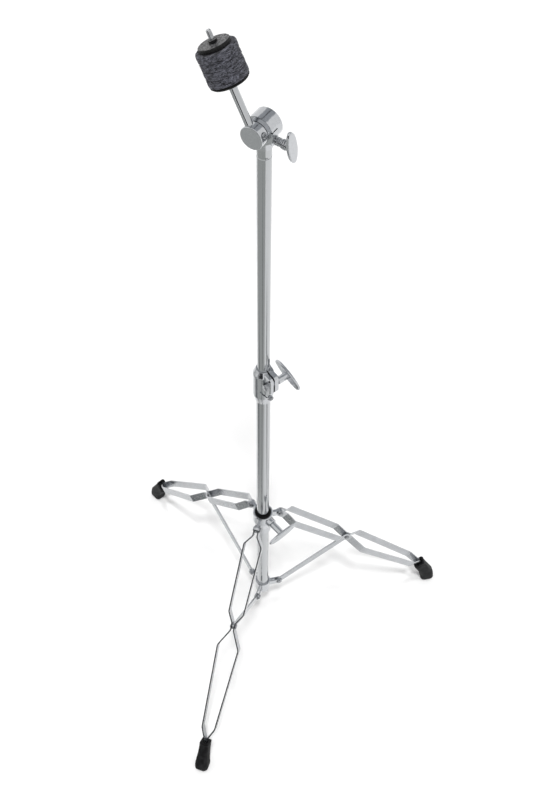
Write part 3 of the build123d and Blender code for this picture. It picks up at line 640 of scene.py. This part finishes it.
def screw_place():
    """Local Z runs out along the tilter's lock screw from the mouth of its boss."""
    place = Matrix.Translation((0, 0, LOCK_SCREW_Z * MM))
    place = place @ Matrix.Rotation(math.radians(TILT_AXIS_ANGLE - 90), 4, "Z")
    place = place @ Matrix.Rotation(math.pi / 2, 4, "Y")
    return place @ Matrix.Translation((0, 0, LOCK_BOSS_REACH * MM))


def boot_place(name):
    """Local X points outward from the post along the floor."""
    return Matrix.Rotation(math.radians(LEG_ANGLES[name]), 4, "Z")


def bridge(build, rings, closed=True):
    """Join equal rings of vertices into a skin, closed on itself or capped at both ends."""
    count = len(rings[0])
    pairs = list(zip(rings, rings[1:]))
    if closed:
        pairs.append((rings[-1], rings[0]))
    for near, far in pairs:
        for i in range(count):
            j = (i + 1) % count
            build.faces.new((near[i], near[j], far[j], far[i]))
    if not closed:
        build.faces.new(list(reversed(rings[0])))
        build.faces.new(rings[-1])


def felt_profile(felt, start, number):
    """Half section of one felt as (radius, height) points, worn round at its edges."""
    top = start + FELT_HEIGHT * MM
    corner = felt.corner
    outer = FELT_R * MM - FELT_ODDNESS * MM * (number % 3)
    bore = (SLEEVE_R + FELT_BORE_GAP) * MM
    turns = [math.pi / 2 * step / CORNER_STEPS for step in range(CORNER_STEPS + 1)]
    points = []
    for turn in turns:
        points.append((outer - corner + corner * math.sin(turn), start + corner - corner * math.cos(turn)))
    for step in range(1, RIM_STEPS):
        share = step / RIM_STEPS
        swell = FELT_SWELL * MM * math.sin(math.pi * share)
        points.append((outer + swell, mix(start + corner, top - corner, share)))
    for turn in turns:
        points.append((outer - corner + corner * math.cos(turn), top - corner + corner * math.sin(turn)))
    for step in range(1, FACE_STEPS + 1):
        points.append((mix(outer - corner, bore, step / FACE_STEPS), top))
    for step in range(1, BORE_STEPS):
        points.append((bore, mix(top, start, step / BORE_STEPS)))
    for step in range(FACE_STEPS):
        points.append((mix(bore, outer - corner, step / FACE_STEPS), start))
    return points


def matted(felt, number, point, radius, middle):
    """Move a point of a felt's skin by its lumps and by the folds between its layers."""
    wander_size, wander_by = LAYER_WANDER
    patch_size, patch_level = LAYER_PATCH
    lump = noise.fractal(point / (LUMP_SIZE * MM), *LUMP_NOISE)
    wander = wander_by * noise.noise(point / (wander_size * MM))
    fold = abs(math.sin(point.z / MM * LAYER_TURN_PER_MM + number + wander))
    patch = patch_level + noise.noise(point / (patch_size * MM))
    layer = max(0.0, 1 - LAYER_SHARPNESS * fold) * patch
    amount = felt.matting * (LUMP_SHARE * lump - LAYER_SHARE * layer)
    fade_from, fade_over = RIM_FADE
    rim = min(1.0, max(0.0, (radius - fade_from * MM) / (fade_over * MM)))
    side = 1 if point.z > middle else -1
    moved = point + Vector((point.x, point.y, 0)).normalized() * amount * rim
    moved.z += FACE_SHARE * amount * side * (1 - rim)
    return moved


def felt_skin(build, felt, place, start, number):
    """Closed skin of one felt, whose vertices keep their place on the felt for its pattern."""
    own = build.verts.layers.float_vector.new("felt_place")
    middle = start + FELT_HEIGHT * MM / 2
    profile = felt_profile(felt, start, number)
    rings = []
    for step in range(ROUND_STEPS):
        turn = 2 * math.pi * step / ROUND_STEPS
        ring = []
        for radius, height in profile:
            point = Vector((radius * math.cos(turn), radius * math.sin(turn), height))
            if radius > MATTED_FROM_R * MM:
                point = matted(felt, number, point, radius, middle)
            vert = build.verts.new(place @ point)
            vert[own] = point / MM
            ring.append(vert)
        rings.append(ring)
    bridge(build, rings)


def felt_fibres(build, felt, place, start, number):
    """Loose fibres, as thin slivers, round the rim and on the face of the top felt."""
    chance = random.Random(20 + number)
    for _ in range(felt.fibre_count):
        turn = chance.uniform(0, 2 * math.pi)
        height = start + chance.uniform(*FIBRE_HEIGHTS) * FELT_HEIGHT * MM
        root_radius = (FELT_R - FIBRE_ROOT_DEPTH) * MM
        if number == FELT_TOP and chance.random() < FIBRE_FACE_SHARE:
            height = start + FELT_HEIGHT * MM
            root_radius = chance.uniform(*FIBRE_RING) * MM
        root = Vector((root_radius * math.cos(turn), root_radius * math.sin(turn), height))
        out = Vector((math.cos(turn), math.sin(turn), 0.0))
        along = Vector((-out.y, out.x, 0.0)) * chance.uniform(-1, 1)
        along += Vector((0, 0, chance.uniform(-FIBRE_SLANT, FIBRE_SLANT)))
        length = felt.fibre_length * chance.uniform(*FIBRE_LENGTHS)
        lean = out * chance.uniform(*FIBRE_OUTWARD) + along * FIBRE_SLANT
        tip = root + lean.normalized() * length
        width = along.cross(out).normalized() * FIBRE_HALF_WIDTH * MM
        build.faces.new([build.verts.new(place @ p) for p in (root - width, root + width, tip)])


def felt_mesh(felt, number):
    """One felt with matted lumps, the thin layers of its rim and its loose fibres."""
    build = bmesh.new()
    start = (FELT_FIRST + number * FELT_PITCH) * MM
    felt_skin(build, felt, arm_place(), start, number)
    felt_fibres(build, felt, arm_place(), start, number)
    return build


def rounded_loop(length, width, corner):
    """Points round a rounded rectangle, centred on zero, evenly shared among its corners."""
    points = []
    per_corner = BOOT_LOOP_POINTS // 4
    for quarter in range(4):
        centre_x = (length / 2 - corner) * (1 if quarter in (0, 3) else -1)
        centre_y = (width / 2 - corner) * (1 if quarter in (0, 1) else -1)
        for step in range(per_corner):
            turn = quarter * math.pi / 2 + math.pi / 2 * step / (per_corner - 1)
            points.append((centre_x + corner * math.cos(turn), centre_y + corner * math.sin(turn)))
    return points


def boot_sections(boot):
    """Cross sections of a boot from its sole to its mouth.

    Each is its centre's x and z, its tilt, its length and width, and its corner.
    """
    slope = math.radians(OPEN_ANGLE)
    mouth_x = PIVOT_RADIUS + FOOT_ENTRY_AT * math.cos(slope)
    mouth_z = HUB_PIVOT_Z - FOOT_ENTRY_AT * math.sin(slope)
    base_x = mouth_x + BOOT_BASE_AHEAD + BOOT_BASE[0] / 2
    block_corner, shoulder_corner, mouth_corner = BOOT_CORNERS
    sections = [
        (base_x, height, 0.0, BOOT_BASE[0] - trim, BOOT_BASE[1] - trim, corner)
        for height, trim, corner in BOOT_SOLE
    ]
    for share in BOOT_BLOCK_SHARES:
        trim = 2 * BOOT_SHOULDER_INSET * share
        height = mix(BOOT_TREAD_Z, BOOT_SHOULDER_Z, share)
        length, width = (side - trim for side in BOOT_BASE)
        sections.append((base_x - trim, height, 0.0, length, width, block_corner))
    shoulder_x = base_x - 2 * BOOT_SHOULDER_INSET
    shoulder = [side - 2 * BOOT_SHOULDER_INSET for side in BOOT_BASE]
    for step in range(BOOT_SLEEVE_STEPS + 1):
        share = step / BOOT_SLEEVE_STEPS
        waist = boot.waist / MM * math.sin(math.pi * share)
        sections.append((
            mix(shoulder_x, mouth_x, share), mix(BOOT_SHOULDER_Z, mouth_z, share),
            (math.pi / 2 - slope) * share,
            mix(shoulder[0], BOOT_MOUTH[0], share) - waist, mix(shoulder[1], BOOT_MOUTH[1], share) - waist,
            mix(shoulder_corner, mouth_corner, share),
        ))
    return sections


def boot_ring(build, place, section, lift=0.0):
    """One ring of a boot's vertices round a section, lifted along the boot's own axis."""
    x, z, turn, length, width, corner = section
    across = Vector((math.cos(turn), 0, math.sin(turn)))
    up = Vector((-math.sin(turn), 0, math.cos(turn)))
    centre = Vector((x, 0, z)) + up * lift
    ring = []
    for along, side in rounded_loop(length, width, corner):
        point = centre + across * along + Vector((0, side, 0))
        ring.append(build.verts.new(place @ (point * MM)))
    return ring


def boot_mesh(boot, name):
    """A hollow-mouthed rubber boot with a rolled lip and a slot round the two strips."""
    build = bmesh.new()
    place = boot_place(name)
    *sleeve, mouth = boot_sections(boot)
    x, z, turn, length, width, corner = mouth
    lip = boot.lip / MM
    skin = [boot_ring(build, place, section) for section in sleeve]
    edge = (-BOOT_LIP_BULGE, -BOOT_LIP_BULGE, 1.0, -lip * BOOT_LIP_EDGE)
    rim = ((0.0, 0.0, 1.0, -lip), edge, *BOOT_RIM)
    for shorter, narrower, corner_share, lift in rim:
        section = (x, z, turn, length - shorter, width - narrower, corner * corner_share)
        skin.append(boot_ring(build, place, section, lift))
    for slot_length, slot_width, slot_corner, lift in BOOT_SLOT:
        skin.append(boot_ring(build, place, (x, z, turn, slot_length, slot_width, slot_corner), lift))
    bridge(build, skin, closed=False)
    return build


def thread_mesh(place, span, pitch, crest):
    """Helical crest that runs round a plain shank, tapered out at both ends."""
    radius, start, end = (value * MM for value in span)
    build = bmesh.new()
    turns = (end - start) / pitch
    steps = int(turns * THREAD_STEPS)
    root = radius - THREAD_ROOT_DEPTH * MM
    root_half, top_half = THREAD_ROOT_HALF * pitch, THREAD_TOP_HALF * pitch
    rings = []
    for step in range(steps + 1):
        share = step / steps
        turn = 2 * math.pi * turns * share
        height = mix(start, end, share)
        top = radius + crest * min(1.0, share * turns, (1 - share) * turns)
        section = ((root, -root_half), (top, -top_half), (top, top_half), (root, root_half))
        rings.append([
            build.verts.new(place @ Vector((out * math.cos(turn), out * math.sin(turn), height + up)))
            for out, up in section
        ])
    bridge(build, rings, closed=False)
    return build


def room_world(level):
    """A white room: plain light on the stand, and pure white to the eye and in the metal."""
    world = bpy.data.worlds.new("white_room")
    world.use_nodes = True
    world.node_tree.nodes.clear()
    rays = add(world, "ShaderNodeLightPath").outputs
    light = add(world, "ShaderNodeBackground", {"Color": (1, 1, 1, 1), "Strength": level})
    seen = add(world, "ShaderNodeBackground", {"Color": (1, 1, 1, 1), "Strength": 1.0})
    direct = add(
        world, "ShaderNodeMath", {"operation": "MAXIMUM"},
        {0: rays["Is Camera Ray"], 1: rays["Is Glossy Ray"]},
    )
    any_view = add(
        world, "ShaderNodeMath",
        {"operation": "MAXIMUM"}, {0: direct, 1: rays["Is Transmission Ray"]},
    )
    room = add(world, "ShaderNodeMixShader", links={0: any_view, 1: light, 2: seen})
    add(world, "ShaderNodeOutputWorld", links={"Surface": room})
    return world


def paper_floor(size):
    """White paper: matt, so that it keeps the stand's soft shadow."""
    build = bmesh.new()
    sides = ((-1, -1), (1, -1), (1, 1), (-1, 1))
    build.faces.new([build.verts.new((x * size, y * size, -FLOOR_DROP)) for x, y in sides])
    object_from(build, "paper_floor", white_paper())


def fading_card(name, shade, soft):
    """Glowing grey that fades out towards a card's edges, so that no band has a hard border."""
    material = new_material(name)
    parts = add(
        material, "ShaderNodeSeparateXYZ",
        links={"Vector": add(material, "ShaderNodeTexCoord").outputs["UV"]},
    )
    fades = []
    for axis in ("X", "Y"):
        middle = add(
            material, "ShaderNodeMath", {"operation": "SUBTRACT", 1: 0.5}, {0: parts.outputs[axis]}
        )
        away = add(material, "ShaderNodeMath", {"operation": "ABSOLUTE"}, {0: middle})
        fades.append(add(
            material, "ShaderNodeMapRange",
            {
                "interpolation_type": "SMOOTHSTEP", "From Min": 0.5 - soft, "From Max": 0.5,
                "To Min": 1.0, "To Max": 0.0,
            },
            {"Value": away},
        ))
    cover = add(material, "ShaderNodeMath", {"operation": "MULTIPLY"}, {0: fades[0], 1: fades[1]})
    glow = add(material, "ShaderNodeEmission", {"Color": linear(shade), "Strength": 1.0})
    clear = add(material, "ShaderNodeBsdfTransparent")
    card = add(material, "ShaderNodeMixShader", links={0: cover, 1: clear, 2: glow})
    add(material, "ShaderNodeOutputMaterial", links={"Surface": card})
    return material


def studio_flag(name, shade, soft, corners):
    """A grey card that only the metal sees: it gives the chrome its soft dark bands."""
    build = bmesh.new()
    build.faces.new([build.verts.new(corner) for corner in corners])
    card = object_from(build, name, fading_card(name, shade, soft))
    places = card.data.uv_layers.new(name="UVMap").data
    for index, spot in enumerate(((0, 0), (1, 0), (1, 1), (0, 1))):
        places[index].uv = spot
    for ray in ("camera", "diffuse", "shadow", "transmission", "volume_scatter"):
        setattr(card, "visible_" + ray, False)


def studio_light(name, level, spread, aim):
    """A soft light that leaves no spot of its own in the metal."""
    light = bpy.data.lights.new(name, "SUN")
    light.energy = level
    light.angle = spread
    lamp = bpy.data.objects.new(name, light)
    lamp.visible_glossy = False
    lamp.rotation_euler = Vector(aim).to_track_quat("-Z", "Y").to_euler()
    bpy.context.scene.collection.objects.link(lamp)


def photo_camera(lens):
    """The photograph's viewpoint: above head height in front of the stand, looking down."""
    data = bpy.data.cameras.new("photo_camera")
    data.sensor_fit = "VERTICAL"
    data.sensor_height = CAMERA_SENSOR
    data.lens = lens
    data.clip_end = CAMERA_REACH
    camera = bpy.data.objects.new("photo_camera", data)
    bpy.context.scene.collection.objects.link(camera)
    azimuth, pitch, roll = (math.radians(angle) for angle in (CAMERA_AZIMUTH, CAMERA_PITCH, CAMERA_ROLL))
    level = Vector((math.cos(azimuth), math.sin(azimuth), 0.0))
    forward = level * math.cos(pitch) + Vector((0.0, 0.0, -math.sin(pitch)))
    right = forward.cross(Vector((0, 0, 1))).normalized()
    up = right.cross(forward).normalized()
    tilted = right * math.cos(roll) + up * math.sin(roll)
    upright = up * math.cos(roll) - right * math.sin(roll)
    place = Matrix((tilted, upright, -forward)).transposed().to_4x4()
    place.translation = Vector(CAMERA_PLACE)
    camera.matrix_world = place
    bpy.context.scene.camera = camera


class StandOperator:
    """Shared parts of the stand's operators."""
    bl_options = {"REGISTER", "UNDO"}


class STAND_OT_stage(StandOperator, bpy.types.Operator):
    """Set the white floor, the soft light and the photograph's camera"""
    bl_idname = "cymbal_stand.stage"
    bl_label = "Studio Stage"

    def execute(self, context):
        stage = context.scene.stand_stage
        photo_camera(stage.lens)
        context.scene.world = room_world(stage.sky_level)
        context.scene.view_settings.view_transform = "Standard"
        paper_floor(stage.floor_size)
        studio_light("top_light", stage.top_level, stage.light_spread, TOP_AIM)
        studio_light("front_light", stage.front_level, stage.light_spread, FRONT_AIM)
        for flag in STUDIO_FLAGS:
            studio_flag(*flag)
        return {"FINISHED"}


class STAND_OT_tubes(StandOperator, bpy.types.Operator):
    """Polish the two post tubes and the cymbal rod"""
    bl_idname = "cymbal_stand.tubes"
    bl_label = "Post Tubes and Rod"

    def execute(self, context):
        material = polished_chrome_tube(context.scene.stand_chrome)
        dress(["lower_tube", "upper_tube", "cymbal_rod"], material)
        return {"FINISHED"}


class STAND_OT_castings(StandOperator, bpy.types.Operator):
    """Plate the hub, collar, clamp, tilter and wing screws"""
    bl_idname = "cymbal_stand.castings"
    bl_label = "Castings and Wing Screws"

    def execute(self, context):
        material = chromed_zinc_casting(context.scene.stand_chrome)
        dress(["lower_collar", "clamp_body", "hub_casting", "tilter_housing", "rod_holder"], material)
        dress(["tilter_end_cap", "hub_wing_screw", "clamp_wing_screw", "tilter_wing_screw"], material)
        return {"FINISHED"}


class STAND_OT_legs(StandOperator, bpy.types.Operator):
    """Plate the leg strips and stays"""
    bl_idname = "cymbal_stand.legs"
    bl_label = "Leg Strips and Stays"

    def execute(self, context):
        material = chromed_strip_steel(context.scene.stand_chrome)
        for leg in LEG_ANGLES:
            dress([leg + "_leg_strip_a", leg + "_leg_strip_b", leg + "_stay"], material)
        return {"FINISHED"}


class STAND_OT_fasteners(StandOperator, bpy.types.Operator):
    """Plate the rivets, pins, small screws and the tilter's inner steel"""
    bl_idname = "cymbal_stand.fasteners"
    bl_label = "Rivets and Small Steel"

    def execute(self, context):
        material = zinc_plated_steel(context.scene.stand_chrome)
        dress(["collar_rivets", "hub_rivets", "clamp_nut", "clamp_set_screw", "arm_set_screw"], material)
        dress(["tilter_neck_pin", "tilter_brake_drum", "tilter_pivot_washer", "tilter_pivot_bolt"], material)
        dress([leg + "_joint_rivet" for leg in LEG_ANGLES], material)
        return {"FINISHED"}


class STAND_OT_plastics(StandOperator, bpy.types.Operator):
    """Mould the top nut, seat washer, sleeve, bushing, insert and brake shoe"""
    bl_idname = "cymbal_stand.plastics"
    bl_label = "Nylon Parts"

    def execute(self, context):
        nylon = context.scene.stand_nylon
        black = moulded_nylon("moulded_black_nylon", nylon.black_shadow, nylon.black_colour, 1.8)
        brown = moulded_nylon("dark_brown_nylon", nylon.brown_shadow, nylon.brown_colour, 0.7)
        dress(["seat_washer", "cymbal_sleeve", "hub_bushing"], black)
        dress(["top_nut"], nut_nylon_with_painted_glints(nylon))
        dress(["clamp_insert", "tilter_brake_shoe"], brown)
        return {"FINISHED"}


class STAND_OT_felts(StandOperator, bpy.types.Operator):
    """Make the four cymbal felts"""
    bl_idname = "cymbal_stand.felts"
    bl_label = "Cymbal Felts"

    def execute(self, context):
        felt = context.scene.stand_felt
        material = needled_felt(felt)
        for number in range(FELT_TOP + 1):
            piece = piece_from(
                felt_mesh(felt, number), f"wool_felt_{number + 1}", material, "arm"
            )
            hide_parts(f"felt_{number + 1}")
        return {"FINISHED"}


class STAND_OT_boots(StandOperator, bpy.types.Operator):
    """Make the three rubber boots"""
    bl_idname = "cymbal_stand.boots"
    bl_label = "Rubber Boots"

    def execute(self, context):
        boot = context.scene.stand_boot
        material = moulded_rubber(boot)
        for leg in LEG_ANGLES:
            piece = piece_from(boot_mesh(boot, leg), leg + "_boot", material, leg + "_leg")
            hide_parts(leg + "_rubber_foot")
        return {"FINISHED"}


class STAND_OT_threads(StandOperator, bpy.types.Operator):
    """Cut the threads that show on the lock screw and the rod's tip"""
    bl_idname = "cymbal_stand.threads"
    bl_label = "Threads"

    def execute(self, context):
        shape = context.scene.stand_thread
        material = cut_thread_steel(context.scene.stand_chrome)
        thread = thread_mesh(screw_place(), LOCK_THREAD, shape.screw_pitch, shape.crest)
        piece_from(thread, "lock_screw_thread", material, "tilter_screw")
        ridges = thread_mesh(screw_place(), LOCK_RIDGES, shape.screw_pitch, shape.crest)
        piece_from(ridges, "lock_screw_ridges", material, "tilter_screw")
        tip = thread_mesh(arm_place(), ROD_THREAD, shape.rod_pitch, shape.crest * ROD_CREST_SHARE)
        piece_from(tip, "rod_tip_thread", material, "arm")
        return {"FINISHED"}


OPERATORS = [
    STAND_OT_stage,
    STAND_OT_tubes,
    STAND_OT_castings,
    STAND_OT_legs,
    STAND_OT_fasteners,
    STAND_OT_plastics,
    STAND_OT_felts,
    STAND_OT_boots,
    STAND_OT_threads,
]


class STAND_PT_sidebar(bpy.types.Panel):
    """Sizes, colours and steps of the cymbal stand"""
    bl_idname = "STAND_PT_sidebar"
    bl_label = "Straight Cymbal Stand"
    bl_space_type = "VIEW_3D"
    bl_region_type = "UI"
    bl_category = "Cymbal Stand"

    def draw(self, context):
        for name, group in SETTINGS.items():
            box = self.layout.box()
            settings = getattr(context.scene, name)
            for field in group.__annotations__:
                box.prop(settings, field)
        for operator in OPERATORS:
            self.layout.operator(operator.bl_idname)


def register():
    for name, group in SETTINGS.items():
        bpy.utils.register_class(group)
        setattr(bpy.types.Scene, name, bpy.props.PointerProperty(type=group))
    for operator in OPERATORS:
        bpy.utils.register_class(operator)
    bpy.utils.register_class(STAND_PT_sidebar)


def unregister():
    bpy.utils.unregister_class(STAND_PT_sidebar)
    for operator in reversed(OPERATORS):
        bpy.utils.unregister_class(operator)
    for name, group in SETTINGS.items():
        delattr(bpy.types.Scene, name)
        bpy.utils.unregister_class(group)


def main():
    register()
    for operator in OPERATORS:
        area, step = operator.bl_idname.split(".")
        getattr(getattr(bpy.ops, area), step)()


if __name__ == "__main__":
    main()
